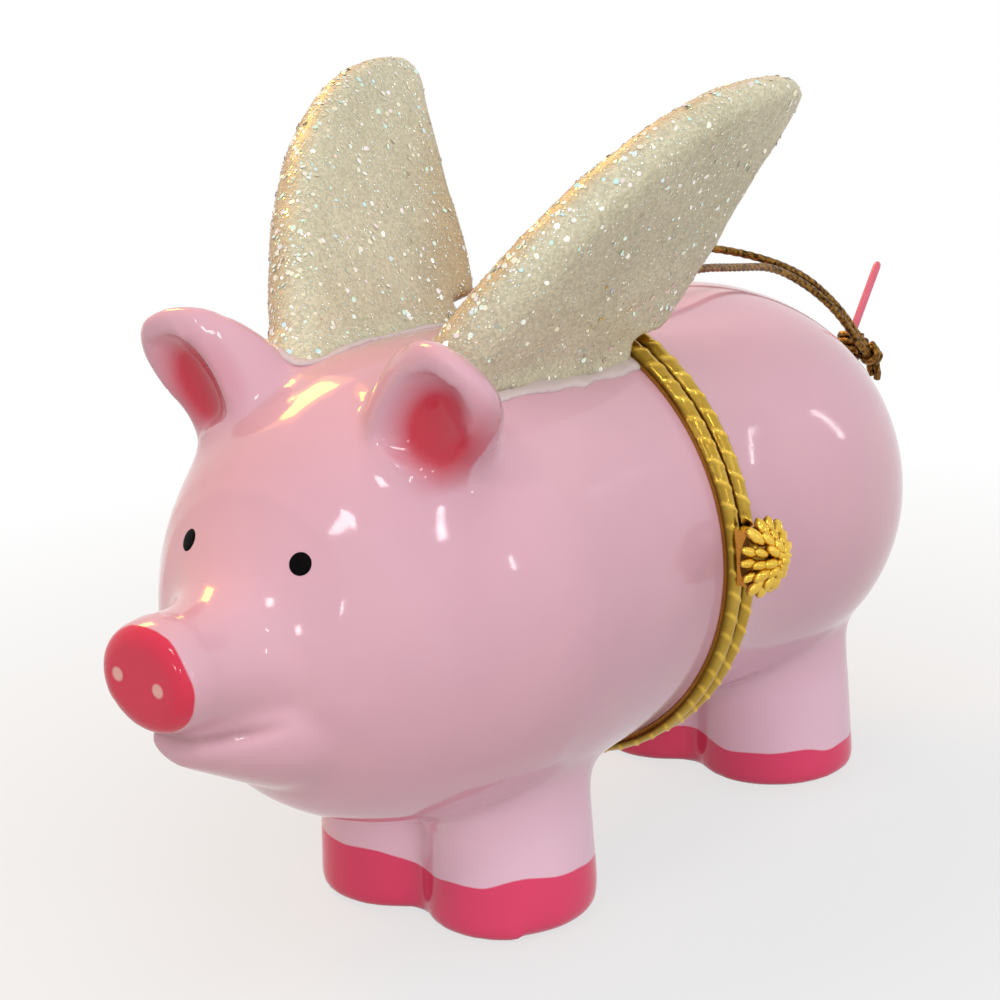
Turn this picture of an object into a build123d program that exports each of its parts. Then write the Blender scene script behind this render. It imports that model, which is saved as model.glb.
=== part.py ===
"""Winged pig trinket box: two glazed porcelain halves that open on a side hinge.

The pig faces -Y and stands on z = 0. +X is its left flank, where the flower clasp is, and the
hinge is on its right flank. All sizes are in millimetres.
"""

import math
import os

from build123d import *

# Barrel of the body at the seam
barrel_z = 27.0
barrel_radius = 18.4
wall = 2.6
seam_y = -2.6

# Body sections, as ellipses across it: distance from the seam, half width, half height, centre height
nose_section = (45.4, 4.4, 3.85, barrel_z + 0.6)
snout_section = (42.0, 4.8, 4.4, barrel_z + 0.3)
bridge_section = (38.4, 5.5, 5.0, barrel_z - 0.1)
snout_root_section = (34.5, 8.2, 7.0, barrel_z - 1.6)
face_section = (36.9, barrel_radius - 13.2, barrel_radius - 13.4, barrel_z - 0.4)
eye_section = (35.2, barrel_radius - 9.5, barrel_radius - 9.1, barrel_z - 0.6)
cheek_section = (30.4, barrel_radius - 4.8, barrel_radius - 4.1, barrel_z - 0.1)
crown_section = (24.0, barrel_radius - 1.0, barrel_radius - 1.2, barrel_z + 0.3)
shoulder_section = (13.0, barrel_radius - 0.3, barrel_radius - 0.2, barrel_z + 0.1)
loin_section = (16.0, barrel_radius - 0.4, barrel_radius - 0.9, barrel_z - 0.7)
croup_section = (29.5, barrel_radius - 3.4, barrel_radius - 3.3, barrel_z - 2.0)
rump_section = (36.0, 9.4, 9.9, 24.4)
rump_end_section = (39.2, 1.6, 1.7, 24.4)

# Nose and lower jaw
nose_round = 1.3
lip_reach = 43.0
lip_z = 22.3
lip_half_width = 2.5
lip_half_height = 1.7
jaw_half_width = 7.6
jaw_half_height = 5.2
jaw_z = 21.6

# Legs
leg_x = 5.5
leg_height = 20.0
front_leg_y = seam_y - 13.7
rear_leg_y = seam_y + 23.3
hoof_radius = 6.9
ankle_radius = 6.1
hoof_round = 0.8
leg_round = 2.5

# Ears: a leaf that stands out from the side of the head, thick behind, with a hollow in its front
ear_root = (barrel_radius - 10.0, seam_y - 26.5, barrel_z + barrel_radius - 4.6)
ear_lean = 25.5
ear_front = 2.3
# distance out from the root, shift down the head, half width, half thickness
ear_stations = [
    (-4.0, 0.2, 4.7, 4.8),
    (1.0, 0.2, 5.0, 4.3),
    (4.5, 1.0, 5.0, 3.4),
    (7.2, 1.7, 4.3, 2.3),
    (8.9, 2.0, 2.6, 1.2),
    (9.4, 2.1, 1.0, 0.5),
]
# the same for the hollow, with its depth
hollow_stations = [
    (0.0, 1.4, 2.9, 1.7),
    (3.0, 1.9, 3.4, 2.3),
    (5.8, 2.3, 2.9, 2.0),
    (7.6, 2.5, 1.4, 1.0),
]

# Wings: a paddle with a blunt front edge, swept up, out and back from its root on the shoulder
wing_root = (barrel_radius - 10.4, seam_y - 10.7, barrel_z + barrel_radius - 1.2)
wing_axis = (0.423, 0.597, 0.683)
wing_chord = (-0.212, 0.797, -0.565)
wing_clearance = 1.0
# distance from the root, shift back along the chord, half chord, front edge radius, rear edge radius
wing_stations = [
    (-10.0, -0.5, 8.0, 2.4, 1.6),
    (1.0, -0.6, 10.2, 2.4, 1.4),
    (9.0, -0.4, 10.2, 2.2, 1.2),
    (17.0, -0.9, 7.7, 1.9, 1.1),
    (24.0, -0.2, 4.2, 1.5, 1.0),
    (27.9, 1.6, 1.1, 0.6, 0.5),
]

# Rims
rim_gap = 0.15
rim_width = 1.6
rim_flange = 0.5
rim_seat = 0.5
rim_proud = 0.45
rim_round = 0.35
glue_gap = 0.05

# Hinge
hinge_offset = 1.4
knuckle_radius = 1.25
knuckle_length = 1.8
knuckle_gap = 0.1
knuckle_count = 5
pin_radius = 0.5
pin_clearance = 0.04
pin_head_radius = 0.85
pin_head_length = 0.4
leaf_width = 1.4
leaf_lap = 0.6
leaf_clearance = 0.12

# Clasp
clasp_z = 27.6
tongue_height = 4.4
tongue_reach = 1.9
tongue_thickness = 0.6
tongue_lift = 0.6
stud_radius = 0.6
stud_proud = 0.38
flower_radius = 3.2
flower_petals = 10
petal_radius = 1.0
petal_rise = 0.5
flower_base = 0.9
heart_radius = 1.4

# Tail: a straight rod set in the end of the rump
tail_root_z = 25.9
tail_rise = 51.5
tail_radius = 0.38
tail_length = 17.6
tail_depth = 2.2
tail_clearance = 0.03

# Hanger cord, tied round the tail: its knot, then its loop as points (x, distance behind the seam, z)
cord_diameter = 0.9
knot_reach = 8.9
knot_offset = (2.2, 0.95)
knot_radius = 1.3
knot_end_length = 2.5
cord_points = [
    (1.9, 46.0, 32.5),
    (1.1, 45.7, 34.6),
    (0.5, 42.8, 37.3),
    (0.0, 38.1, 40.6),
    (-0.7, 33.9, 42.8),
    (-2.6, 29.4, 44.5),
    (-4.2, 22.5, 45.7),
    (-4.4, 15.0, 45.8),
    (-4.0, 9.2, 45.4),
    (-1.9, 4.9, 45.9),
    (1.9, 4.9, 45.9),
    (4.0, 9.2, 45.4),
    (4.2, 14.8, 45.8),
    (1.9, 23.9, 44.0),
    (0.5, 30.7, 42.4),
    (0.4, 35.9, 40.0),
    (1.0, 40.0, 37.4),
    (1.6, 43.1, 34.6),
    (2.3, 44.9, 32.4),
]

os.makedirs("parts", exist_ok=True)

band_outer = barrel_radius + rim_proud
band_inner = barrel_radius - rim_seat + glue_gap
bore = barrel_radius - wall
front_rim_y = seam_y - rim_gap / 2
rear_rim_y = seam_y + rim_gap / 2
barrel_axis = Axis((0, 0, barrel_z), (0, 1, 0))
barrel_plane = Plane(origin=(0, 0, barrel_z), x_dir=(1, 0, 0), z_dir=(0, 0, 1))


def across(y, z=barrel_z):
    """A plane across the body at y that faces forwards, with its own y upwards."""
    return Plane(origin=(0, y, z), x_dir=(1, 0, 0), z_dir=(0, -1, 0))


# Ears: a thick leaf whose front stays in one plane, and the hollow for it
ear_out = Vector(0, 0, 1).rotate(Axis.Y, ear_lean)
ear_down = Vector(1, 0, 0).rotate(Axis.Y, ear_lean)


def ear_section(distance, shift, half_width, half_thickness, back):
    """An elliptical section of the ear, moved back from the root by the given way."""
    centre = Vector(*ear_root) + ear_out * distance + ear_down * shift
    with BuildSketch(Plane(origin=centre, x_dir=ear_down, z_dir=ear_out)) as section:
        with Locations((0, back)):
            Ellipse(half_width, half_thickness)
    return section.sketch


ear_sections = [ear_section(*station, station[3] - ear_front) for station in ear_stations]
hollow_sections = [ear_section(*station, -ear_front) for station in hollow_stations]

with BuildPart() as left_ear:
    loft(ear_sections)

with BuildPart() as left_hollow:
    loft(hollow_sections)


def body_sections(y, way, sections, inset=0.0):
    """Elliptical sections across the body, at their distances the given way along Y."""
    faces = []
    for distance, half_width, half_height, centre_z in sections:
        with BuildSketch(across(y + way * distance, centre_z)) as section:
            Ellipse(half_width - inset, half_height - inset)
        faces.append(section.sketch)
    return faces


# Front shell: head, ears, snout, chest and forelegs
front_edge = rim_gap / 2 + rim_flange
rim_section = (front_edge, barrel_radius, barrel_radius, barrel_z)
head_sections = [face_section, eye_section, cheek_section, crown_section, shoulder_section, rim_section]
snout_sections = [nose_section, snout_section, bridge_section, snout_root_section]
jaw_sections = [
    (lip_reach, lip_half_width, lip_half_height, lip_z),
    (eye_section[0], jaw_half_width, jaw_half_height, jaw_z),
]

with BuildPart() as body_form:
    loft(body_sections(seam_y, -1, head_sections))

with BuildPart() as front_shell:
    add(body_form.part)
    with Locations((leg_x, front_leg_y, 0), (-leg_x, front_leg_y, 0)):
        Cone(hoof_radius, ankle_radius, leg_height, align=(Align.CENTER, Align.CENTER, Align.MIN))
    fillet(front_shell.edges(Select.LAST).filter_by(GeomType.CIRCLE, reverse=True), leg_round)
    fillet(front_shell.faces().sort_by(Axis.Z)[0].outer_wire().edges(), hoof_round)
    loft(body_sections(seam_y, -1, snout_sections))
    fillet(front_shell.faces().sort_by(Axis.Y)[0].outer_wire().edges(), nose_round)
    loft(body_sections(seam_y, -1, jaw_sections))
    add(left_ear.part)
    add(mirror(left_ear.part, about=Plane.YZ, mode=Mode.PRIVATE))
    add(left_hollow.part, mode=Mode.SUBTRACT)
    add(mirror(left_hollow.part, about=Plane.YZ, mode=Mode.PRIVATE), mode=Mode.SUBTRACT)
    loft(body_sections(seam_y, -1, head_sections[2:], wall), mode=Mode.SUBTRACT)
    with BuildSketch(across(seam_y - front_edge)):
        Circle(2 * barrel_radius)
        Circle(barrel_radius - rim_seat, mode=Mode.SUBTRACT)
    extrude(amount=rim_width - rim_flange + glue_gap, mode=Mode.SUBTRACT)

front_shell.part.label = "front_shell"
export_step(front_shell.part, "parts/front_shell.step")

# Rear shell: rump and hind legs
tail_axis = Vector(0, 1, 0).rotate(Axis.X, tail_rise)
tail_plane = Plane(origin=(0, seam_y + rump_end_section[0], tail_root_z), x_dir=(1, 0, 0), z_dir=tail_axis)
rump_sections = [rim_section, loin_section, croup_section, rump_section, rump_end_section]

with BuildPart() as rear_shell:
    loft(body_sections(seam_y, 1, rump_sections))
    with Locations((leg_x, rear_leg_y, 0), (-leg_x, rear_leg_y, 0)):
        Cone(hoof_radius, ankle_radius, leg_height, align=(Align.CENTER, Align.CENTER, Align.MIN))
    fillet(rear_shell.edges(Select.LAST).filter_by(GeomType.CIRCLE, reverse=True), leg_round)
    fillet(rear_shell.faces().sort_by(Axis.Z)[0].outer_wire().edges(), hoof_round)
    loft(body_sections(seam_y, 1, rump_sections[:4], wall), mode=Mode.SUBTRACT)
    with BuildSketch(across(seam_y + front_edge)):
        Circle(2 * barrel_radius)
        Circle(barrel_radius - rim_seat, mode=Mode.SUBTRACT)
    extrude(amount=-(rim_width - rim_flange + glue_gap), mode=Mode.SUBTRACT)
    with Locations(tail_plane.offset(-tail_depth).location):
        Cylinder(
            tail_radius + tail_clearance,
            2 * tail_depth,
            align=(Align.CENTER, Align.CENTER, Align.MIN),
            mode=Mode.SUBTRACT,
        )

rear_shell.part.label = "rear_shell"
export_step(rear_shell.part, "parts/rear_shell.step")


# Wings: lofted paddles, cut to the back and ear that they are glued to and clear of the rims
def wing_section(distance, shift, half_chord, front_radius, rear_radius):
    """A section of the wing, wrapped round its front and rear edges."""
    centre = Vector(*wing_root) + Vector(*wing_axis) * distance + Vector(*wing_chord) * shift
    with BuildSketch(Plane(origin=centre, x_dir=wing_chord, z_dir=wing_axis)) as section:
        with Locations((front_radius - half_chord, 0)):
            Circle(front_radius)
        with Locations((half_chord - rear_radius, 0)):
            Circle(rear_radius)
        make_hull()
    return section.sketch


with BuildPart() as left_wing:
    loft([wing_section(*station) for station in wing_stations])
    add(body_form.part, mode=Mode.SUBTRACT)
    add(left_ear.part, mode=Mode.SUBTRACT)
    with Locations(Location((0, front_rim_y - rim_width - glue_gap, barrel_z), (90, 0, 0))):
        Cylinder(
            band_outer + wing_clearance,
            2 * barrel_radius,
            align=(Align.CENTER, Align.CENTER, Align.MAX),
            mode=Mode.SUBTRACT,
        )

left_wing.part.label = "left_wing"
export_step(left_wing.part, "parts/left_wing.step")

with BuildPart() as right_wing:
    add(mirror(left_wing.part, about=Plane.YZ, mode=Mode.PRIVATE))

right_wing.part.label = "right_wing"
export_step(right_wing.part, "parts/right_wing.step")


# Rims: a band round the outside of each half and a flange over its cut edge
def rim(edge_y, away):
    """A rim whose meeting face is at edge_y, with its band running the away way along Y."""
    with BuildPart() as ring:
        with BuildSketch(barrel_plane):
            with BuildLine():
                Polyline(
                    (bore, edge_y),
                    (band_outer, edge_y),
                    (band_outer, edge_y + away * rim_width),
                    (band_inner, edge_y + away * rim_width),
                    (band_inner, edge_y + away * rim_flange),
                    (bore, edge_y + away * rim_flange),
                    close=True,
                )
            make_face()
        revolve(axis=barrel_axis)
        outside = ring.edges().filter_by(GeomType.CIRCLE).group_by(SortBy.RADIUS)[-1]
        fillet(outside, rim_round)
    return ring.part


front_bezel = rim(front_rim_y, -1)
front_bezel.label = "front_bezel"
export_step(front_bezel, "parts/front_bezel.step")

rear_bezel = rim(rear_rim_y, 1)
rear_bezel.label = "rear_bezel"
export_step(rear_bezel, "parts/rear_bezel.step")


# Hinge: knuckles in turn from the two rims, on one upright pin
hinge_x = -(band_outer + hinge_offset)
knuckle_pitch = knuckle_length + knuckle_gap
knuckle_heights = [barrel_z + (i - (knuckle_count - 1) / 2) * knuckle_pitch for i in range(knuckle_count)]
hinge_height = knuckle_count * knuckle_pitch - knuckle_gap


def hinge_leaf(edge_y, away, own, others):
    """A leaf on the rim at edge_y, with knuckles at the heights own and room for the others."""
    reach = leaf_lap - hinge_x - band_outer
    with BuildPart() as leaf:
        with Locations((hinge_x + reach / 2, edge_y + away * leaf_width / 2, barrel_z)):
            Box(reach, leaf_width, hinge_height)
        with Locations(Location((0, edge_y, barrel_z), (90, 0, 0))):
            Cylinder(band_outer + glue_gap, 4 * rim_width, mode=Mode.SUBTRACT)
        for z in others:
            with Locations((hinge_x, seam_y, z)):
                Cylinder(knuckle_radius + leaf_clearance, knuckle_length + 2 * knuckle_gap, mode=Mode.SUBTRACT)
        for z in own:
            with Locations((hinge_x, seam_y, z)):
                Cylinder(knuckle_radius, knuckle_length)
        with Locations((hinge_x, seam_y, barrel_z)):
            Cylinder(pin_radius + pin_clearance, 2 * hinge_height, mode=Mode.SUBTRACT)
    return leaf.part


hinge_front_leaf = hinge_leaf(front_rim_y, -1, knuckle_heights[0::2], knuckle_heights[1::2])
hinge_front_leaf.label = "hinge_front_leaf"
export_step(hinge_front_leaf, "parts/hinge_front_leaf.step")

hinge_rear_leaf = hinge_leaf(rear_rim_y, 1, knuckle_heights[1::2], knuckle_heights[0::2])
hinge_rear_leaf.label = "hinge_rear_leaf"
export_step(hinge_rear_leaf, "parts/hinge_rear_leaf.step")

with BuildPart() as hinge_pin:
    with Locations((hinge_x, seam_y, barrel_z)):
        Cylinder(pin_radius, hinge_height + 2 * knuckle_gap)
    for end in (-1, 1):
        head_z = barrel_z + end * (hinge_height / 2 + knuckle_gap + pin_head_length / 2)
        with Locations((hinge_x, seam_y, head_z)):
            Cylinder(pin_head_radius, pin_head_length)

hinge_pin.part.label = "hinge_pin"
export_step(hinge_pin.part, "parts/hinge_pin.step")


# Clasp: a spring tongue from the front rim over a stud on the rear rim, under a flower
tongue_outer = band_outer + tongue_lift + tongue_thickness
tongue_front_y = front_rim_y - rim_width + rim_round
tongue_rear_y = rear_rim_y + tongue_reach

with BuildPart() as clasp_tongue:
    with Locations(((band_outer - leaf_lap + tongue_outer) / 2, (tongue_front_y + tongue_rear_y) / 2, clasp_z)):
        Box(tongue_outer - band_outer + leaf_lap, tongue_rear_y - tongue_front_y, tongue_height)
    with Locations(Location((0, seam_y, barrel_z), (90, 0, 0))):
        Cylinder(band_outer + glue_gap, 6 * rim_width, mode=Mode.SUBTRACT)
    with Locations(Location((0, front_rim_y, barrel_z), (90, 0, 0))):
        Cylinder(
            band_outer + tongue_lift,
            3 * rim_width,
            align=(Align.CENTER, Align.CENTER, Align.MAX),
            mode=Mode.SUBTRACT,
        )

clasp_tongue.part.label = "clasp_tongue"
export_step(clasp_tongue.part, "parts/clasp_tongue.step")

with BuildPart() as clasp_stud:
    with Locations((band_outer + stud_proud - stud_radius, rear_rim_y + rim_width / 2, clasp_z)):
        Sphere(stud_radius)
    with Locations(Location((0, seam_y, barrel_z), (90, 0, 0))):
        Cylinder(band_outer + glue_gap, 6 * rim_width, mode=Mode.SUBTRACT)

clasp_stud.part.label = "clasp_stud"
export_step(clasp_stud.part, "parts/clasp_stud.step")

flower_plane = Plane(origin=(tongue_outer, seam_y, clasp_z), x_dir=(0, 1, 0), z_dir=(1, 0, 0))

with BuildPart(flower_plane) as clasp_flower:
    Cylinder(flower_radius - petal_radius, flower_base, align=(Align.CENTER, Align.CENTER, Align.MIN))
    with PolarLocations(flower_radius - petal_radius, flower_petals):
        with Locations((0, 0, petal_rise)):
            Sphere(petal_radius)
    with Locations((0, 0, petal_rise)):
        Sphere(heart_radius)
    Cylinder(2 * flower_radius, flower_radius, align=(Align.CENTER, Align.CENTER, Align.MAX), mode=Mode.SUBTRACT)

clasp_flower.part.label = "clasp_flower"
export_step(clasp_flower.part, "parts/clasp_flower.step")


# Tail: a rod with a rounded tip
with BuildPart(tail_plane.offset(-tail_depth)) as tail:
    Cylinder(tail_radius, tail_depth + tail_length, align=(Align.CENTER, Align.CENTER, Align.MIN))
    fillet(tail.edges().sort_by(Axis.Z)[-1], 0.8 * tail_radius)

tail.part.label = "tail"
export_step(tail.part, "parts/tail.step")


# Hanger cord: straight runs and tangent arcs, each arc as large as its runs allow
route = [Vector(x, seam_y + behind, z) for x, behind, z in cord_points]
runs = [after - before for before, after in zip(route, route[1:])]
turns = [before.get_angle(after) for before, after in zip(runs, runs[1:])]
radii = [
    0.45 * min(before.length, after.length) / math.tan(math.radians(turn / 2))
    for before, after, turn in zip(runs, runs[1:], turns)
]

with BuildPart() as hanger_cord:
    with BuildLine() as cord_path:
        FilletPolyline(*route, radius=radii)
    with BuildSketch(Plane(origin=route[0], z_dir=runs[0])):
        Circle(cord_diameter / 2)
    sweep(path=cord_path.wire())

cord_length = cord_path.wire().length
cord_volume = math.pi * cord_diameter**2 / 4 * cord_length
print("cord radii", [round(radius, 1) for radius in radii])
print("cord turns", [round(turn) for turn in turns])
print("cord runs", [round(run.length, 1) for run in runs])
print("cord length", round(cord_length, 1))
print("cord volume over section times length", round(hanger_cord.part.volume / cord_volume, 4))

hanger_cord.part.label = "hanger_cord"
export_step(hanger_cord.part, "parts/hanger_cord.step")

# Knot: a turn round the tail, the knot itself and the cord's two cut ends
with BuildPart(tail_plane.offset(knot_reach)) as knot_form:
    Torus(tail_radius + tail_clearance + cord_diameter / 2, cord_diameter / 2)
    with Locations(knot_offset):
        Sphere(knot_radius)
    for side in (-1, 1):
        with Locations(Location((*knot_offset, 0), (-90 + 25 * side, 0, -30 + 20 * side))):
            Cylinder(cord_diameter / 2, knot_end_length, align=(Align.CENTER, Align.CENTER, Align.MIN))

with BuildPart() as cord_knot:
    add(knot_form.part)
    add(hanger_cord.part, mode=Mode.SUBTRACT)

cord_knot.part.label = "cord_knot"
export_step(cord_knot.part, "parts/cord_knot.step")
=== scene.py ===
# %% [markdown]
# # A winged pig trinket box
#
# The box is a glazed porcelain pig in two halves. A gilt rim runs round each half, a hinge on the
# right flank joins them, and a flower on the left flank hides the snap that keeps them shut. Two
# glitter wings are glued on the back, and a gold cord is tied round the thin tail.
#
# The CAD model already holds every piece at its real size and place. So the lesson starts from it:
# it is loaded as a fixed frame, and each piece below is made in metres in that same frame. Two of
# its measures come up again and again: where along the pig the rims meet, and how high the middle of
# the round body lies.

# %% Load the frame
import math
import random

import bmesh
import bpy
from mathutils import Matrix, Vector, noise
from mathutils.bvhtree import BVHTree


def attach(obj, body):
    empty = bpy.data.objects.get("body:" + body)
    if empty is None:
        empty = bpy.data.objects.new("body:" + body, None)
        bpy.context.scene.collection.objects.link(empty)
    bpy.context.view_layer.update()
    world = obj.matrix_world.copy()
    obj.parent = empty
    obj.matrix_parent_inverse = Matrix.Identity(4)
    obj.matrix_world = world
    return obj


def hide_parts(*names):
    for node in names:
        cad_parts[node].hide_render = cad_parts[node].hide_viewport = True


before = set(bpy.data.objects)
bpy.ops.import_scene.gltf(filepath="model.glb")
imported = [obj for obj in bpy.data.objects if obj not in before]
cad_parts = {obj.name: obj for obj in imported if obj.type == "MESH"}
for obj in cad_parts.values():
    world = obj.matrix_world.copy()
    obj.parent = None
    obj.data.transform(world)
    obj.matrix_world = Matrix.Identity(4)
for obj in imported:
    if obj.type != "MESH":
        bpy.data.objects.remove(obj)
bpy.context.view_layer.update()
scene = bpy.context.scene
scene.view_settings.view_transform = "Standard"
seam = -0.0026
barrel_z = 0.027

# %% [markdown]
# ## The camera
#
# The photograph looks at the pig's left cheek, a little from above. A camera's turn is easiest to
# read as three plain turns: round the upright axis, up from the floor, and a small roll.

# %% Set the camera
camera = bpy.data.objects.new("camera", bpy.data.cameras.new("camera"))
camera.data.lens = 94.36
camera.data.sensor_width = 36
camera.data.clip_start = 0.01
round_the_pig = Matrix.Rotation(math.radians(40), 4, "Z")
above_the_floor = Matrix.Rotation(math.radians(90 - 16.04), 4, "X")
roll = Matrix.Rotation(math.radians(-2.62), 4, "Z")
stand = Matrix.Translation((0.127325, -0.160780, 0.087615))
camera.matrix_world = stand @ round_the_pig @ above_the_floor @ roll
scene.collection.objects.link(camera)
scene.camera = camera
print("camera at", [round(c, 3) for c in camera.location])

# %% [markdown]
# ## A few helpers
#
# Every piece ends the same way: its bmesh becomes an object at the origin, gets its finish, and
# rides on one of the two bodies of the box. Every finish is a set of nodes, so another helper adds
# a node, sets its inputs, and links the ones that are given as sockets.

# %% Helpers for pieces and nodes
def piece(name, bm, body, finish):
    mesh = bpy.data.meshes.new(name)
    bm.to_mesh(mesh)
    bm.free()
    mesh.shade_smooth()
    mesh.materials.append(finish)
    made = bpy.data.objects.new(name, mesh)
    scene.collection.objects.link(made)
    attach(made, body)
    print(name, len(mesh.polygons), "faces")
    return made


def new_finish(name, **values):
    finish = bpy.data.materials.new(name)
    finish.use_nodes = True
    shader = finish.node_tree.nodes["Principled BSDF"]
    for key, value in values.items():
        shader.inputs[key.replace("_", " ").title().replace("Ior", "IOR")].default_value = value
    return finish, shader


def node(finish, kind, inputs, **settings):
    made = finish.node_tree.nodes.new("ShaderNode" + kind)
    for key, value in settings.items():
        setattr(made, key, value)
    for key, value in inputs.items():
        if isinstance(value, bpy.types.NodeSocket):
            finish.node_tree.links.new(value, made.inputs[key])
        else:
            made.inputs[key].default_value = value
    return made


def feed(finish, shader, **sockets):
    for key, socket in sockets.items():
        finish.node_tree.links.new(socket, shader.inputs[key.replace("_", " ").title()])


def math_node(finish, operation, a, b):
    return node(finish, "Math", {0: a, 1: b}, operation=operation).outputs[0]


def blend_colour(finish, amount, below, above):
    mix = node(finish, "Mix", {"Factor": amount, 6: below, 7: above}, data_type="RGBA")
    return mix.outputs[2]


# %% [markdown]
# ## The hanger cord
#
# The cord is thin metallic thread, twisted from three plies, and about 95 mm long. It leaves the
# knot at the tail, runs forwards over the back, turns between the wings and comes home. Over the
# rump its two strands lie against each other. Its line is a NURBS spline through a handful of
# points, because a spline bends as smoothly as a cord does. The plies are made by carrying a
# three-lobed ring along that line and turning it.

# %% The cord's route
cord_points = [
    (2.1, 45.4, 32.0), (1.7, 44.0, 33.8), (1.3, 42.2, 36.2), (0.9, 40.0, 38.4), (0.4, 36.7, 40.9),
    (-0.5, 32.6, 42.9), (-2.6, 28.6, 44.4), (-4.2, 22.5, 45.7), (-4.4, 15.0, 45.8), (-4.0, 9.2, 45.4),
    (-1.9, 4.9, 45.9), (1.9, 4.9, 45.9), (4.0, 9.2, 45.4), (4.2, 14.8, 45.8), (2.0, 23.9, 44.0),
    (0.5, 31.6, 42.6), (0.9, 36.1, 40.3), (1.5, 39.4, 37.8), (1.9, 41.5, 35.6), (2.15, 43.4, 33.2),
    (2.3, 45.0, 31.8),
]
cord_route = [Vector((x, y, z)) / 1000 + Vector((0, seam, 0)) for x, y, z in cord_points]
cord_diameter = 0.00074
cord_pitch = 0.003


def spline_line(points, steps):
    curve = bpy.data.curves.new("route", "CURVE")
    curve.dimensions = "3D"
    curve.resolution_u = steps
    spline = curve.splines.new("NURBS")
    spline.points.add(len(points) - 1)
    for control, point in zip(spline.points, points):
        control.co = (*point, 1)
    spline.order_u = 3
    spline.use_endpoint_u = True
    holder = bpy.data.objects.new("route", curve)
    line = bpy.data.meshes.new_from_object(holder)
    path = [v.co.copy() for v in line.vertices]
    bpy.data.objects.remove(holder)
    return path


cord_path = spline_line(cord_route, 28)

# %% Carry a ring along a line
def carry_ring(bm, frames, radius, segments, lobes=0):
    """Carry a ring, round or lobed, through a row of frames, and close it at both ends."""
    ring = bmesh.ops.create_circle(bm, cap_ends=True, radius=radius, segments=segments)["verts"]
    for v in ring:
        v.co *= 0.93 + 0.07 * math.cos(lobes * math.atan2(v.co.y, v.co.x))
    bmesh.ops.transform(bm, matrix=frames[0], verts=ring)
    loop = list(dict.fromkeys(e for v in ring for e in v.link_edges))
    for last, here in zip(frames, frames[1:]):
        grown = bmesh.ops.extrude_edge_only(bm, edges=loop)["geom"]
        ring = [g for g in grown if isinstance(g, bmesh.types.BMVert)]
        loop = [g for g in grown if isinstance(g, bmesh.types.BMEdge)]
        bmesh.ops.transform(bm, matrix=here @ last.inverted(), verts=ring)
    bmesh.ops.contextual_create(bm, geom=loop)
    bmesh.ops.recalc_face_normals(bm, faces=bm.faces)


# %% Twist the plies
def twisted(bm, path, radius, plies=3):
    """Carry a ring with one lobe for each ply along a path, turned once in every pitch."""
    side = (path[1] - path[0]).orthogonal().normalized()
    turned = 0.0
    frames = []
    for i, point in enumerate(path):
        ahead = (path[min(i + 1, len(path) - 1)] - path[max(i - 1, 0)]).normalized()
        side = (side - ahead * side.dot(ahead)).normalized()
        if i:
            turned += (point - path[i - 1]).length / cord_pitch * 2 * math.pi
        twist = Matrix.Rotation(turned, 4, ahead) @ side
        across = Matrix((twist, ahead.cross(twist), ahead)).transposed().to_4x4()
        frames.append(Matrix.Translation(point) @ across)
    carry_ring(bm, frames, radius, 4 * plies, plies)


# %% The gold thread
gold_thread, thread_shader = new_finish("gold_thread", metallic=1.0, roughness=0.4)
where = node(gold_thread, "TexCoord", {})
fine = {"Vector": where.outputs["Object"], "Scale": 2600.0, "Detail": 3.0}
flecks = node(gold_thread, "TexNoise", fine)
ramp = node(gold_thread, "ValToRGB", {"Fac": flecks.outputs["Fac"]})
dark, bright = ramp.color_ramp.elements
dark.position, dark.color = 0.36, (0.045, 0.020, 0.005, 1)
bright.position, bright.color = 0.70, (0.42, 0.21, 0.045, 1)
rough = {"Strength": 0.25, "Distance": 0.00004, "Height": flecks.outputs["Fac"]}
grain = node(gold_thread, "Bump", rough)
feed(gold_thread, thread_shader, base_color=ramp.outputs["Color"], normal=grain.outputs["Normal"])

# %% Make the cord
bm = bmesh.new()
twisted(bm, cord_path, cord_diameter / 2)
cord = piece("cord", bm, "rear", gold_thread)
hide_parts("hanger_cord")

# %% [markdown]
# ## The knot and the tail
#
# The cord's two ends come together in a small overhand knot beside the tail, and three turns of it
# go round the rod. The same twisting helper makes them all, along more short splines, and the cut
# ends hang down. The tail is a plain ring carried along a straight line, a little rounded at its
# tip.

# %% The lines of the knot
tail_root = Vector((0, 0.0366, 0.0259))
tail_rise = math.radians(51.5)
tail_frame = Matrix.Translation(tail_root) @ Matrix.Rotation(tail_rise - math.pi / 2, 4, "X")
knot_middle = Vector((0.0022, 0.0426, 0.0320))
overhand = [
    (-0.3, 0.5, 0.9), (0.5, 0.2, 0.5), (0.75, -0.35, -0.1), (0.2, -0.7, -0.5), (-0.6, -0.4, -0.3),
    (-0.7, 0.3, 0.2), (0.0, 0.75, 0.35), (0.75, 0.45, -0.2), (0.4, -0.3, -0.6), (-0.4, -0.5, 0.1),
    (-0.5, 0.1, 0.6), (0.2, 0.4, 0.9),
]
round_the_tail = [
    (1.5, -0.3, 0.1), (0.9, -0.75, 0.0), (0.0, -0.95, 0.0), (-0.85, -0.6, 0.0), (-0.95, 0.2, 0.0),
    (-0.5, 0.85, 0.0), (0.3, 0.95, 0.0), (1.0, 0.8, 0.0), (1.7, 0.6, 0.1),
]
cut_ends = [
    [(0.2, 0.2, -0.3), (0.4, 0.6, -1.3), (0.1, 0.9, -2.4)],
    [(-0.2, 0.1, -0.4), (-0.4, 0.3, -1.2), (-0.3, 0.7, -2.0)],
]

# %% Tie the knot
def at_knot(points):
    return spline_line([knot_middle + Vector(p) / 1000 for p in points], 10)


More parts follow.
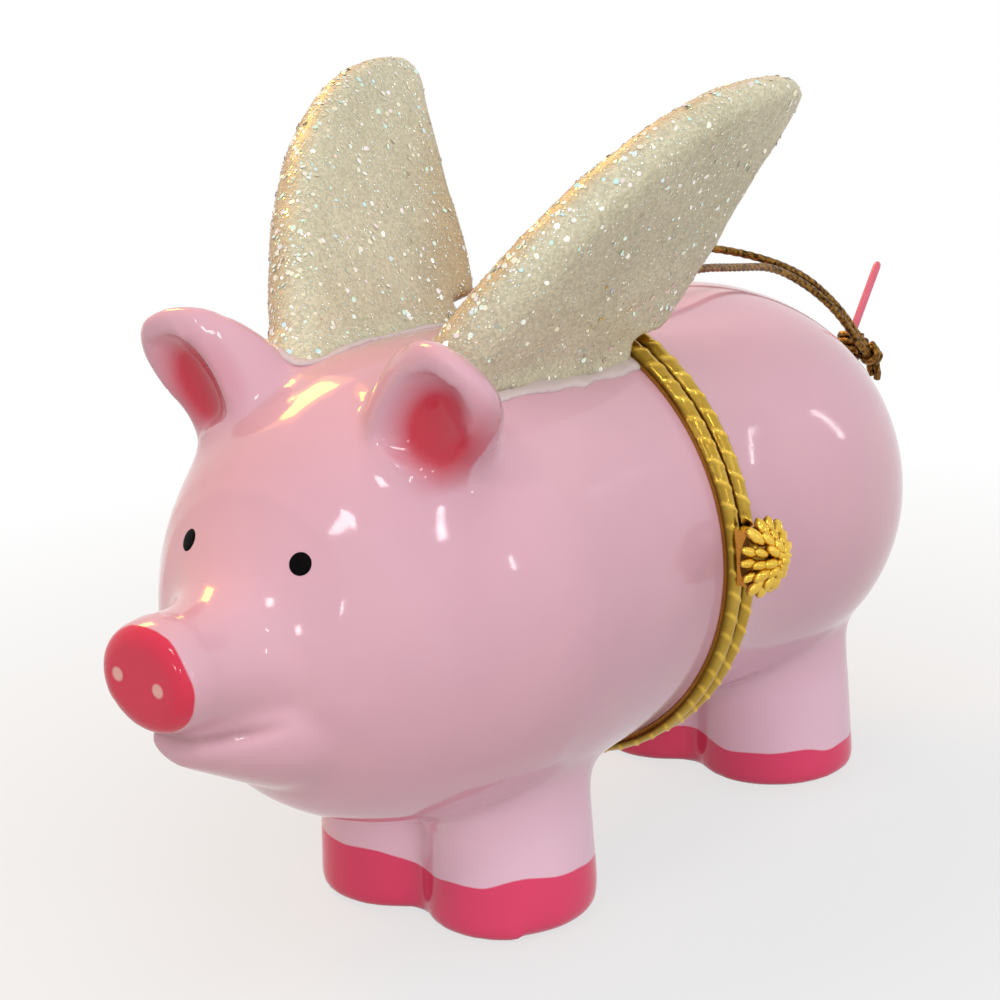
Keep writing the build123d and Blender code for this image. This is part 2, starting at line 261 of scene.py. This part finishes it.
bm = bmesh.new()
twisted(bm, at_knot(overhand), 0.0004)
for height in (0.0081, 0.0088, 0.0095):
    turn_frame = tail_frame @ Matrix.Translation((0, 0, height))
    turn = [turn_frame @ (Vector((x, -y, z)) / 1000) for x, y, z in round_the_tail]
    twisted(bm, spline_line(turn, 10), 0.00037)
for points in cut_ends:
    twisted(bm, at_knot(points), 0.00036)
knot = piece("knot", bm, "rear", gold_thread)
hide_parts("cord_knot")

# %% The tail
tail_rings = [
    (-0.8, 0.37), (0.0, 0.38), (5.0, 0.375), (10.0, 0.37), (15.0, 0.365), (17.1, 0.37), (17.45, 0.3),
    (17.6, 0.14),
]
tail_frames = [
    tail_frame @ Matrix.Translation((0, 0, along / 1000)) @ Matrix.Diagonal((radius, radius, 1, 1))
    for along, radius in tail_rings
]
bm = bmesh.new()
carry_ring(bm, tail_frames, 0.001, 24)
tail_paint, tail_shader = new_finish("tail_paint", roughness=0.3, coat_weight=0.4)
where = node(tail_paint, "TexCoord", {})
broad = {"Vector": where.outputs["Object"], "Scale": 420.0, "Detail": 2.0}
streaks = node(tail_paint, "TexNoise", broad).outputs["Fac"]
pinks = blend_colour(tail_paint, streaks, (0.62, 0.08, 0.14, 1), (0.80, 0.18, 0.26, 1))
feed(tail_paint, tail_shader, base_color=pinks)
tail = piece("tail_rod", bm, "rear", tail_paint)
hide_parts("tail")

# %% [markdown]
# ## The porcelain halves
#
# Each half is one casting: legs, snout and ears flow into the body with no seam. The CAD solid has
# the right walls and hollow, but its joins are sharper than poured clay and its glaze. A voxel
# remesh turns a copy of it into one even skin, and a few rounds of smoothing soften every join.

# %% One skin for each half
def soften(bm, verts, rounds):
    for _ in range(rounds):
        bmesh.ops.smooth_vert(
            bm, verts=verts, factor=0.5, use_axis_x=True, use_axis_y=True, use_axis_z=True,
        )


def reskin(bm, voxel, rounds):
    """Turn everything in a bmesh into one even skin, and soften it."""
    mesh = bpy.data.meshes.new("cast")
    bm.to_mesh(mesh)
    holder = bpy.data.objects.new("cast", mesh)
    scene.collection.objects.link(holder)
    remesh = holder.modifiers.new("skin", "REMESH")
    remesh.mode = "VOXEL"
    remesh.voxel_size = voxel
    depsgraph = bpy.context.evaluated_depsgraph_get()
    skin = bpy.data.meshes.new_from_object(holder.evaluated_get(depsgraph))
    bpy.data.objects.remove(holder)
    bm.clear()
    bm.from_mesh(skin)
    soften(bm, bm.verts, rounds)


def cast(node_name, voxel, rounds):
    """A copy of a CAD node with one even skin, as a bmesh."""
    bm = bmesh.new()
    bm.from_mesh(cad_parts[node_name].data)
    bmesh.ops.remove_doubles(bm, verts=bm.verts, dist=1e-6)
    reskin(bm, voxel, rounds)
    return bm


front_skin = cast("front_shell", 0.0004, 5)
rear_skin = cast("rear_shell", 0.0004, 5)
print("front", len(front_skin.verts), "points, rear", len(rear_skin.verts), "points")

# %% [markdown]
# Some joins are softer than others. Where the snout leaves the face, where an ear stands on the
# head and where a leg meets the belly, the wet clay was rubbed smooth with a thumb. So those places
# get more rounds, each from a short test on where a point lies. The hollow of the ear gets only a
# few, so it keeps its edge.

# %% Find the joins
ear_lean = math.radians(25.5)
ear_out = Vector((math.sin(ear_lean), 0, math.cos(ear_lean)))
ear_down = Vector((math.cos(ear_lean), 0, -math.sin(ear_lean)))
ear_root = Vector((0.0084, seam - 0.0265, 0.0408))
ear_front = ear_root.y - 0.0023


def ear_place(point):
    """How far out of the ear's root, down the head and behind the ear's front it lies, in mm."""
    at = Vector((abs(point.x), point.y, point.z)) - ear_root
    return at.dot(ear_out) * 1000, at.dot(ear_down) * 1000, (point.y - ear_front) * 1000


def at_ear_foot(point):
    out, down, behind = ear_place(point)
    clear_of_hollow = behind > 2.6 or out < -0.6
    return -4.5 < out < 2.5 and -7.5 < down < 8 and clear_of_hollow and behind < 12


def at_ear_hollow(point):
    out, down, behind = ear_place(point)
    return -0.5 < out < 7.6 and -2.6 < down < 5.0 and 0.9 < behind < 3.6


def at_snout_root(point):
    along = seam - 0.0425 < point.y < seam - 0.0320
    return along and point.z > 0.0245 and abs(point.x) < 0.012


def at_bridge(point):
    along = seam - 0.0425 < point.y < seam - 0.0335
    return along and point.z > 0.0293 and abs(point.x) < 0.0085


def at_mouth(point):
    return point.y < -0.0385 and 0.0205 < point.z < 0.0255


def at_jaw(point):
    return point.y < seam - 0.033 and point.z < 0.0225


def at_leg_top(point):
    return 0.0085 < point.z < 0.0155


# %% Rub them smooth
def rub(skin, place, rounds):
    chosen = [v for v in skin.verts if place(v.co)]
    soften(skin, chosen, rounds)
    print(place.__name__, len(chosen), "points")


rub(front_skin, at_ear_foot, 36)
rub(front_skin, at_ear_hollow, 20)
rub(front_skin, at_snout_root, 60)
rub(front_skin, at_bridge, 160)
rub(front_skin, at_jaw, 14)
rub(front_skin, at_leg_top, 24)
rub(rear_skin, at_leg_top, 24)

# %% [markdown]
# The CAD shell draws in a little between the shoulder and the rim. On the glazed pig that flank runs
# on almost level, so the hollow is filled out there: a point on the outside that lies under a
# straight line from shoulder to rim moves out towards it. The back and the middle of the belly stay.

# %% Fill the flanks
def clipped(value, top=1.0):
    return max(0.0, min(top, value))


def fill_flanks(skin, fore, aft, fore_radius, aft_radius):
    skin.normal_update()
    for v in skin.verts:
        along = (v.co.y - fore) / (aft - fore)
        arm = Vector((v.co.x, 0, v.co.z - barrel_z))
        if 0 < along < 1 and v.normal.dot(arm) > 0:
            gap = fore_radius + (aft_radius - fore_radius) * along - arm.length
            start = 0.45 if arm.z > 0 else 0.2
            flank = clipped((abs(arm.x) / arm.length - start) / 0.28)
            v.co += arm.normalized() * clipped(gap, 0.002) * 0.9 * flank


def at_flank(point):
    outside = math.hypot(point.x, point.z - barrel_z) > 0.0155
    return -0.021 < point.y < -0.0045 and outside


fill_flanks(front_skin, -0.0175, -0.0036, 0.01845, 0.0179)
rub(front_skin, at_flank, 40)

# %% [markdown]
# The mouth is a line pressed into the clay under the nose. Points near that line are pushed in, and
# most of all those on it. How far they went is kept, and the glaze there is painted darker by as
# much: painted shade in the crease.

# %% Press in the mouth
front_skin.normal_update()
crease_shade = front_skin.verts.layers.float.new("crease_shade")
mouth_end, mouth_depth = -0.0395, 0.0006
for v in front_skin.verts:
    if v.co.y < mouth_end and 0.020 < v.co.z < 0.026:
        line = 0.0226 + 0.09 * abs(v.co.x)
        fade = min(1.0, (mouth_end - v.co.y) / 0.0028)
        press = math.exp(-((v.co.z - line) / 0.00042) ** 2) * fade
        v.co -= v.normal * mouth_depth * press
        v[crease_shade] = press
rub(front_skin, at_mouth, 5)
print("pressed", sum(1 for v in front_skin.verts if v[crease_shade] > 0.3), "points")

# %% [markdown]
# ## The painted glaze
#
# The whole pig is dipped in one pale pink glaze. Over it come the painted marks: hot pink hooves with
# a hand-drawn upper edge, a hot pink nose with two pale nostrils, black eyes, and red in the ears.
# Each mark has a place on the body, so its mask is worked out from Object coordinates. The red of
# the ears follows the hollow instead, so it is stored on the points of the mesh.

# %% Red in the ears
red = front_skin.verts.layers.float.new("ear_red")
for v in front_skin.verts:
    out, down, behind = ear_place(v.co)
    middle = 1.3 + 0.15 * out + math.copysign(0.7, v.co.x)
    spread = math.hypot((out - 3.2) / 4.8, (down - middle) / 4.0)
    if spread < 1.15 and -0.5 < behind < 3.4:
        v[red] = clipped((behind - 0.1) / 1.7) * clipped((1.15 - spread) * 1.7)
print("red points", sum(1 for v in front_skin.verts if v[red] > 0.5))

# %% The plain glaze
glaze, glaze_shader = new_finish("pink_glaze", roughness=0.09, specular_ior_level=0.32)
where = node(glaze, "TexCoord", {})
spot = where.outputs["Object"]
axes = node(glaze, "SeparateXYZ", {"Vector": spot})
y, z = axes.outputs["Y"], axes.outputs["Z"]
soft = {"Vector": spot, "Scale": 55.0, "Detail": 3.0, "Roughness": 0.6}
cloud = node(glaze, "TexNoise", soft).outputs["Fac"]
colour = blend_colour(glaze, cloud, (0.63, 0.355, 0.455, 1), (0.77, 0.455, 0.52, 1))
wobble = node(glaze, "TexNoise", {"Vector": spot, "Scale": 150.0, "Detail": 1.0}).outputs["Fac"]
wave = math_node(glaze, "MULTIPLY", math_node(glaze, "SUBTRACT", wobble, 0.5), 0.0022)

# %% Masks for the painted marks
def ramp_mask(value, full, none):
    limits = {"Value": value, "From Min": none, "From Max": full, "To Min": 0.0, "To Max": 1.0}
    return node(glaze, "MapRange", limits, clamp=True).outputs[0]


def dot_mask(centre, radius, edge):
    gap = node(glaze, "VectorMath", {0: spot, 1: centre}, operation="DISTANCE")
    return ramp_mask(gap.outputs["Value"], radius - edge, radius + edge)


# %% Paint the marks over it
# The lower legs are painted paler, as painted light, and the mouth's crease darker, as painted shade.
leg_painted_light = (0.86, 0.56, 0.68, 1)
ear_red = (0.58, 0.036, 0.066, 1)
crease_shade_pink = (0.34, 0.16, 0.17, 1)
hoof_pink = (0.80, 0.055, 0.150, 1)
nose_red = (0.68, 0.028, 0.072, 1)
nostril_pink = (0.80, 0.42, 0.38, 1)
ears = node(glaze, "Attribute", {}, attribute_name="ear_red").outputs["Fac"]
crease_shade_mask = node(glaze, "Attribute", {}, attribute_name="crease_shade").outputs["Fac"]
front_to_rear = {"Value": y, "From Min": -0.010, "From Max": 0.010, "To Min": 0.0048, "To Max": 0.0033}
hoof_line = node(glaze, "MapRange", front_to_rear).outputs[0]
over_line = math_node(glaze, "SUBTRACT", math_node(glaze, "ADD", z, wave), hoof_line)
marks = [
    # painted light: the lower legs paler, where they catch the lamps and the floor's light
    (ramp_mask(z, 0.008, 0.018), leg_painted_light),
    (ears, ear_red),
    # painted shade in the mouth's crease
    (math_node(glaze, "MULTIPLY", crease_shade_mask, 0.6), crease_shade_pink),
    (ramp_mask(over_line, -0.00006, 0.00006), hoof_pink),
    (ramp_mask(math_node(glaze, "ADD", y, wave), -0.04731, -0.04719), nose_red),
    (dot_mask((0.0017, -0.0480, 0.0272), 0.0005, 0.0001), nostril_pink),
    (dot_mask((-0.0022, -0.0480, 0.0277), 0.0005, 0.0001), nostril_pink),
]
for mask, shade in marks:
    colour = blend_colour(glaze, mask, colour, shade)
ripple = node(glaze, "TexNoise", {"Vector": spot, "Scale": 130.0, "Detail": 1.0}).outputs["Fac"]
skin_bump = node(glaze, "Bump", {"Strength": 0.03, "Distance": 0.0006, "Height": ripple})
feed(glaze, glaze_shader, base_color=colour, normal=skin_bump.outputs["Normal"])
print("glaze with", len(marks), "painted marks")

# %% [markdown]
# The eyes are dots of thick black enamel. A ray shot at the face finds where each one sits and which
# way the glaze faces there, and a flattened ball makes the drop of paint.

# %% Dot the eyes
enamel, enamel_shader = new_finish("black_enamel", roughness=0.5, specular_ior_level=0.03)
where = node(enamel, "TexCoord", {})
brushed = node(enamel, "TexNoise", {"Vector": where.outputs["Object"], "Scale": 900.0}).outputs["Fac"]
blacks = blend_colour(enamel, brushed, (0.001, 0.001, 0.001, 1), (0.004, 0.003, 0.004, 1))
feed(enamel, enamel_shader, base_color=blacks)
front_surface = BVHTree.FromBMesh(front_skin)
bm = bmesh.new()
for side in (-1, 1):
    before_the_face = Vector((side * 0.00548, -0.06, 0.03397))
    place, way, _, _ = front_surface.ray_cast(before_the_face, Vector((0, 1, 0)))
    turn = way.to_track_quat("Z", "Y").to_matrix().to_4x4()
    drop = Matrix.Translation(place) @ turn @ Matrix.Diagonal((0.00084, 0.00084, 0.00013, 1))
    bmesh.ops.create_uvsphere(bm, u_segments=32, v_segments=12, radius=1.0, matrix=drop)
    print("eye at", [round(c * 1000, 2) for c in place])
eyes = piece("eyes", bm, "front", enamel)

# %% Set the two halves in place
front_half = piece("front_half", front_skin, "front", glaze)
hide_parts("front_shell")
rear_half = piece("rear_half", rear_skin, "rear", glaze)
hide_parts("rear_shell")

# %% [markdown]
# ## The glitter wings
#
# The wings are cream paddles coated in glitter. The coat is a little uneven, so the skin of each
# wing is pushed in and out by a slow noise, and its foot spreads where it is glued to the back. Warm
# light is painted into the coat: a little gold where its edges face the warm light, and on the far
# wing a brown painted warm shade towards its lower back edge. Then real flakes are laid on, thickest
# on the front edges: thousands of tiny six-sided plates, each tilted its own way, because only
# separate tilted mirrors flash as glitter does.

# %% The wings' coat
coat, coat_shader = new_finish("glitter_coat", roughness=0.42)
where = node(coat, "TexCoord", {})
patchy = {"Vector": where.outputs["Object"], "Scale": 140.0, "Detail": 4.0}
patches = node(coat, "TexNoise", patchy).outputs["Fac"]
creams = blend_colour(coat, patches, (0.47, 0.44, 0.30, 1), (0.75, 0.70, 0.51, 1))
# painted warm light: the coat turns brown as much as the stored warm light says
warm_light_paint = node(coat, "Attribute", {}, attribute_name="warm_light_paint").outputs["Fac"]
creams = blend_colour(coat, warm_light_paint, creams, (0.50, 0.30, 0.10, 1))
grains = node(coat, "TexVoronoi", {"Vector": where.outputs["Object"], "Scale": 5200.0})
speck = node(coat, "SeparateColor", {"Color": grains.outputs["Color"]})
sparks = node(coat, "MapRange", {"Value": speck.outputs[0], "To Min": 0.80, "To Max": 1.14})
both = {"Factor": 1.0, 6: creams, 7: sparks.outputs[0]}
lit = node(coat, "Mix", both, data_type="RGBA", blend_type="MULTIPLY")
grit = node(coat, "Bump", {"Strength": 0.4, "Distance": 0.00008, "Height": speck.outputs[1]})
feed(coat, coat_shader, base_color=lit.outputs[2], normal=grit.outputs["Normal"])

# %% The flakes' finish
flake_finish, flake_shader = new_finish("glitter_flakes", metallic=0.75, roughness=0.2)
tint = node(flake_finish, "Attribute", {}, attribute_name="tint")
rainbow = node(flake_finish, "ValToRGB", {"Fac": tint.outputs["Fac"]})
stops = [
    (0.0, (0.88, 0.80, 0.58, 1)), (0.45, (0.95, 0.93, 0.86, 1)), (0.68, (0.70, 0.92, 0.76, 1)),
    (0.80, (0.62, 0.90, 0.92, 1)), (0.92, (0.93, 0.74, 0.72, 1)),
]
for i, (at, shade_of) in enumerate(stops):
    stop = rainbow.color_ramp.elements[0] if i == 0 else rainbow.color_ramp.elements.new(at)
    stop.position, stop.color = at, shade_of
feed(flake_finish, flake_shader, base_color=rainbow.outputs["Color"])
print("flakes in", len(stops), "tints")

# %% The glue
glue, glue_shader = new_finish("clear_glue", roughness=0.2)
where = node(glue, "TexCoord", {})
thick = {"Vector": where.outputs["Object"], "Scale": 300.0, "Detail": 2.0}
milky = node(glue, "TexNoise", thick).outputs["Fac"]
pales = blend_colour(glue, milky, (0.58, 0.46, 0.47, 1), (0.70, 0.60, 0.58, 1))
feed(glue, glue_shader, base_color=pales)

# %% Spread a wing's foot and glue it down
foot_height = 0.002


def set_foot(skin):
    """Spread the wing's points near the back, and return where the bead of glue goes."""
    line = []
    for v in skin.verts:
        below, up, _, gap = front_surface.find_nearest(v.co)
        if gap < foot_height:
            out = v.normal - up * v.normal.dot(up)
            near = (1 - gap / foot_height) ** 2
            v.co += (out * 0.0009 - up * 0.0005) * near
            if gap < 0.0006 and out.length > 0.6:
                line.append((below + out * 0.001, up))
    return line


def glue_down(side, skin):
    beads = bmesh.new()
    for at, up in set_foot(skin)[::3]:
        size = 0.0007 * (1 + 0.5 * noise.noise(at * 420))
        lie = Matrix.Translation(at) @ up.to_track_quat("Z", "Y").to_matrix().to_4x4()
        drop = lie @ Matrix.Diagonal((size, size, size * 0.5, 1))
        bmesh.ops.create_icosphere(beads, subdivisions=2, radius=1.0, matrix=drop)
    reskin(beads, 0.0002, 16)
    line = piece(side + "_wing_glue", beads, "front", glue)


# %% Paint warm light on the edges of a coat
warm_light_way = Vector((-0.6, -0.35, 0.72))


def paint_warm_light(side, skin):
    """Store painted warm light: a little where a point faces the warm light, more on the far wing's
    back edge.
    """
    warm_light_layer = skin.verts.layers.float.new("warm_light_paint")
    for v in skin.verts:
        v[warm_light_layer] = 0.4 * clipped((v.normal.dot(warm_light_way) - 0.5) / 0.35)
        if side == "right":
            back_edge = (v.co.y - 0.72 * (v.co.z - 0.045) + 0.011) / 0.010
            low = clipped((0.064 - v.co.z) / 0.016, 0.75)
            v[warm_light_layer] = max(v[warm_light_layer], clipped(back_edge) * low)


# %% Lay the flakes
open_side = Vector((-0.35, -0.6, 0.72))


def lay_flakes(skin, seed, count):
    """Scatter tilted six-sided plates over a skin, more of them on its open side."""
    chance = random.Random(seed)
    faces = list(skin.faces)
    weights = [f.calc_area() * (0.35 + max(0.0, f.normal.dot(open_side))) for f in faces]
    plates = bmesh.new()
    hue = plates.faces.layers.float.new("tint")
    for face in chance.choices(faces, weights=weights, k=count):
        at = face.calc_center_median() + face.normal * 0.00004
        lean = Vector((chance.gauss(0, 0.2), chance.gauss(0, 0.2), chance.gauss(0, 0.2)))
        way = (face.normal + lean).normalized().to_track_quat("Z", "Y").to_matrix().to_4x4()
        spin = Matrix.Rotation(chance.uniform(0, math.pi), 4, "Z")
        radius = 0.00006 + 0.00022 * chance.random() ** 9
        lie = Matrix.Translation(at) @ way @ spin
        ring = bmesh.ops.create_circle(plates, cap_ends=True, radius=radius, segments=6, matrix=lie)
        ring["verts"][0].link_faces[0][hue] = chance.random()
    return plates


# %% Coat both wings
def glitter_wing(side, seed, flakes):
    skin = cast(side + "_wing", 0.00035, 9)
    skin.normal_update()
    for v in skin.verts:
        lump = noise.noise(v.co * 260) * 0.00016 + noise.noise(v.co * 700) * 0.00006
        v.co += v.normal * lump
    glue_down(side, skin)
    skin.normal_update()
    paint_warm_light(side, skin)
    plates = lay_flakes(skin, seed, flakes)
    wing = piece(side + "_wing_coat", skin, "front", coat)
    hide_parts(side + "_wing")
    glitter = piece(side + "_wing_flakes", plates, "front", flake_finish)


glitter_wing("left", 3, 5200)
glitter_wing("right", 5, 5200)

# %% [markdown]
# ## The gilt rims
#
# A rim is a half-round band with a short slanted bar across it about every 1.8 mm, like a loosely
# laid rope. A spin carries the band's profile round the barrel in fine steps, and the points under a
# bar are lifted a little. How much painted shade each point gets is stored: some everywhere, more
# towards the band's edges and the seam, less on a bar, so that the finish darkens the gold there as
# painted shade and dark reflection.

# %% The gilt finish
gilt, gilt_shader = new_finish("gilt", metallic=1.0)
where = node(gilt, "TexCoord", {})
blotchy = {"Vector": where.outputs["Object"], "Scale": 480.0, "Detail": 4.0}
worn = node(gilt, "TexNoise", blotchy).outputs["Fac"]
golds = blend_colour(gilt, worn, (0.60, 0.33, 0.02, 1), (0.98, 0.70, 0.14, 1))
# the stored painted shade darkens the gold towards deep brown
depth = node(gilt, "Attribute", {}, attribute_name="gilt_shade").outputs["Fac"]
shaded_gold = blend_colour(gilt, depth, golds, (0.11, 0.05, 0.006, 1))
dull_range = {"Value": worn, "From Min": 0.3, "From Max": 0.7, "To Min": 0.16, "To Max": 0.34}
dull = node(gilt, "MapRange", dull_range).outputs[0]
dents = node(gilt, "Bump", {"Strength": 0.15, "Distance": 0.0001, "Height": worn})
feed(gilt, gilt_shader, base_color=shaded_gold, roughness=dull, normal=dents.outputs["Normal"])

# %% The rim's profile
bar_count, steps_per_bar, slant, bar_height = 66, 12, 3.05, 0.00012
band_middle, half_band = 0.83, 0.8
across = [i / 12 for i in range(13)]
band = [(18.3 + 0.66 * math.sin(math.pi * t) ** 0.6, 0.03 + 1.6 * t) for t in across]
strip = [(15.8, 0.0), *band, (17.95, 1.65), (17.95, 0.5), (15.8, 0.5)]
print("rim profile of", len(strip), "points")

# %% Spin the rims
def rim(name, node_name, body, edge, away):
    bm = bmesh.new()
    profile = [(r / 1000, edge + away * along / 1000, barrel_z) for r, along in strip]
    corners = [bm.verts.new(point) for point in profile]
    edges = [bm.edges.new((a, b)) for a, b in zip(corners, corners[1:] + corners[:1])]
    bmesh.ops.spin(
        bm, geom=corners + edges, cent=(0, 0, barrel_z), axis=(0, 1, 0), angle=2 * math.pi,
        steps=bar_count * steps_per_bar, use_merge=True,
    )
    gilt_shade = bm.verts.layers.float.new("gilt_shade")
    for v in bm.verts:
        arm = Vector((v.co.x, 0, v.co.z - barrel_z))
        off_middle = abs((v.co.y - edge) * away * 1000 - band_middle) / half_band
        turn = math.atan2(arm.z, arm.x) * bar_count + (v.co.y - seam) * 1000 * slant
        bar = max(0.0, math.cos(turn)) ** 7 * max(0.0, 1 - off_middle ** 3)
        if arm.length > 0.01829:
            v.co += arm.normalized() * bar_height * bar
            # painted shade: some everywhere, more at the band's edges and the seam, less on a bar
            v[gilt_shade] = clipped(0.42 + 0.6 * off_middle ** 4 - bar)
    bmesh.ops.recalc_face_normals(bm, faces=bm.faces)
    made = piece(name, bm, body, gilt)
    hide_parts(node_name)


rim("front_rim", "front_bezel", "front", seam - 0.000075, -1)
rim("rear_rim", "rear_bezel", "rear", seam + 0.000075, 1)

# %% [markdown]
# ## The flower clasp
#
# The clasp is cast as a full flower head: four tiers of narrow petals round a bead, in a dome. Each
# petal is a small sphere drawn out along its own radius, and each tier stands higher and closer in
# than the last. A tier is written as its count of petals, how far out and how high they stand, and
# their length, width and thickness, in millimetres. No two petals are quite alike, so a seeded chance
# turns and stretches each a little, and the undersides and the dish below them get painted shade.

# %% Set the petals
to_the_left = Matrix(((0, 0, 1), (1, 0, 0), (0, 1, 0))).to_4x4()
flower_frame = Matrix.Translation((0.02005, seam, 0.0276)) @ to_the_left
tiers = [
    (14, 2.35, 0.60, 0.92, 0.46, 0.46), (11, 1.75, 1.25, 0.80, 0.42, 0.46),
    (8, 1.05, 1.75, 0.62, 0.36, 0.42), (5, 0.45, 2.05, 0.40, 0.28, 0.36),
]
chance = random.Random(11)
bm = bmesh.new()
gilt_shade = bm.verts.layers.float.new("gilt_shade")
dish = flower_frame @ Matrix.Translation((0, 0, 0.0007))
bmesh.ops.create_cone(
    bm, cap_ends=True, segments=40, radius1=0.0026, radius2=0.0014, depth=0.0014, matrix=dish,
)
# painted shade on the dish under the petals
for v in bm.verts:
    v[gilt_shade] = 0.8
for count, reach, lift, length, width, thickness in tiers:
    for i in range(count):
        angle = 2 * math.pi * (i + 0.5 * (count % 2) + chance.uniform(-0.15, 0.15)) / count
        turn = Matrix.Rotation(angle, 4, "Z")
        tilt = Matrix.Rotation(math.radians(chance.uniform(14, 30)), 4, "Y")
        stretch = chance.uniform(0.85, 1.15) / 1000
        size = Matrix.Diagonal((length * stretch, width * stretch, thickness * stretch, 1))
        stand = flower_frame @ turn @ Matrix.Translation(Vector((reach, 0, lift)) / 1000) @ tilt
        grow = stand @ size
        petal = bmesh.ops.create_uvsphere(bm, u_segments=12, v_segments=10, radius=1.0, matrix=grow)
        back_to_ball = grow.inverted()
        # painted shade on each petal's underside
        for v in petal["verts"]:
            v[gilt_shade] = clipped(0.35 - 0.9 * (back_to_ball @ v.co).z)
top = flower_frame @ Matrix.Translation((0, 0, 0.0023))
bmesh.ops.create_uvsphere(bm, u_segments=14, v_segments=10, radius=0.0004, matrix=top)
flower = piece("flower", bm, "front", gilt)
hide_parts("clasp_flower")

# %% [markdown]
# ## Hinge and snap
#
# The knuckles, the pin, the spring tongue and its stud are plain turned and bent brass. Their CAD
# shapes are already right, so they only take the gilt finish.

# %% Gild the hinge and snap
for name in ("hinge_front_leaf", "hinge_rear_leaf", "hinge_pin", "clasp_tongue", "clasp_stud"):
    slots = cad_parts[name].data.materials
    slots.clear()
    slots.append(gilt)
    print("gilded", name)

# %% [markdown]
# ## Floor and light
#
# The pig stands on a pale floor under soft light from all round, with more from above and from the
# near side, and a warm glow from the far side. Glaze only looks like glaze when it mirrors lamps, so
# small lamps stand where the glints on the cheek, the flank and the brow ask for them, and a warm
# lamp with its shade stands where the forehead mirrors it. A soft lamp isn't mirrored, and the warm
# lamp and its shade are mirrored but light nothing. Each lamp has a direction from the pig, a
# distance, a width and a height in metres, a power in watts and a colour.

# %% Floor
def straight_look(finish):
    """1 for a ray that comes from the camera, a mirror or glass, and 0 for plain light."""
    ray = node(finish, "LightPath", {}).outputs
    look = math_node(finish, "MAXIMUM", ray["Is Camera Ray"], ray["Is Glossy Ray"])
    return math_node(finish, "MAXIMUM", look, ray["Is Transmission Ray"])


floor_bm = bmesh.new()
bmesh.ops.create_grid(floor_bm, x_segments=1, y_segments=1, size=3.0)
floor_mesh = bpy.data.meshes.new("floor")
floor_bm.to_mesh(floor_mesh)
floor_bm.free()
floor = bpy.data.objects.new("floor", floor_mesh)
scene.collection.objects.link(floor)
pale_grey = (0.45, 0.45, 0.45, 1)
floor_finish, floor_shader = new_finish("pale_floor", base_color=pale_grey, roughness=0.7)
where = node(floor_finish, "TexCoord", {}).outputs["Object"]
away = node(floor_finish, "VectorMath", {0: where}, operation="LENGTH").outputs["Value"]
reach = {"Value": away, "From Min": 0.03, "From Max": 0.12, "To Min": 0.7, "To Max": 1.0}
fade = node(floor_finish, "MapRange", reach).outputs[0]
shown = math_node(floor_finish, "MULTIPLY", straight_look(floor_finish), fade)
paper = node(floor_finish, "Emission", {"Color": (1, 1, 1, 1), "Strength": 1.0})
layers = {0: shown, 1: floor_shader.outputs[0], 2: paper.outputs[0]}
mixed = node(floor_finish, "MixShader", layers).outputs[0]
feed(floor_finish, floor_finish.node_tree.nodes["Material Output"], surface=mixed)
floor_mesh.materials.append(floor_finish)
print("floor", len(floor_mesh.polygons), "face")

# %% World
world = bpy.data.worlds.new("studio")
scene.world = world
world.use_nodes = True
brightness = {"Value": straight_look(world), "To Min": 0.32, "To Max": 1.0}
sky = world.node_tree.nodes["Background"]
sky.inputs["Color"].default_value = (1, 1, 1, 1)
feed(world, sky, strength=node(world, "MapRange", brightness).outputs[0])

# %% Lamps
pig_middle = Vector((0, -0.015, 0.03))


def lamp(name, way, distance, width, height, power, shade=(1, 1, 1), mirrored=True, lights=True):
    light = bpy.data.lights.new(name, "AREA")
    light.shape = "RECTANGLE"
    light.size, light.size_y = width, height
    light.energy = power
    light.color = shade
    made = bpy.data.objects.new(name, light)
    made.location = pig_middle + Vector(way).normalized() * distance
    made.rotation_mode = "QUATERNION"
    made.rotation_quaternion = Vector(way).to_track_quat("Z", "Y")
    made.visible_glossy = mirrored
    made.visible_diffuse = lights
    scene.collection.objects.link(made)


lamp("soft_top", (0.25, -0.15, 0.95), 0.8, 0.4, 0.4, 1.4, mirrored=False)
lamp("soft_side", (0.78, -0.55, 0.30), 0.8, 0.4, 0.4, 2.0, mirrored=False)
lamp("soft_rear", (0.60, 0.62, 0.50), 0.8, 0.4, 0.4, 0.8, mirrored=False)
lamp("warm_side", (-0.68, 0.0, 0.73), 0.6, 0.3, 0.3, 1.9, (1.0, 0.42, 0.06), mirrored=False)
lamp("brow_window", (0.20, -0.66, 0.72), 0.6, 0.09, 0.08, 0.42)
lamp("cheek_window", (0.74, -0.34, 0.58), 0.6, 0.025, 0.06, 0.13)
lamp("front_window", (0.42, -0.87, 0.23), 0.7, 0.05, 0.06, 0.2)
lamp("door", (0.08, -0.98, 0.18), 0.7, 0.04, 0.07, 0.18)
lamp("side_window", (0.96, -0.02, 0.27), 0.6, 0.015, 0.06, 0.08)
lamp("flank_window", (0.455, 0.865, 0.22), 0.6, 0.004, 0.12, 0.05)
lamp("warm_lamp", (-0.70, 0.23, 0.67), 0.5, 0.15, 0.085, 0.95, (1.0, 0.62, 0.06), lights=False)
lamp("warm_shade", (-0.70, 0.23, 0.67), 0.55, 0.24, 0.18, 0.45, (1.0, 0.3, 0.02), lights=False)
print(len(bpy.data.lights), "lamps")
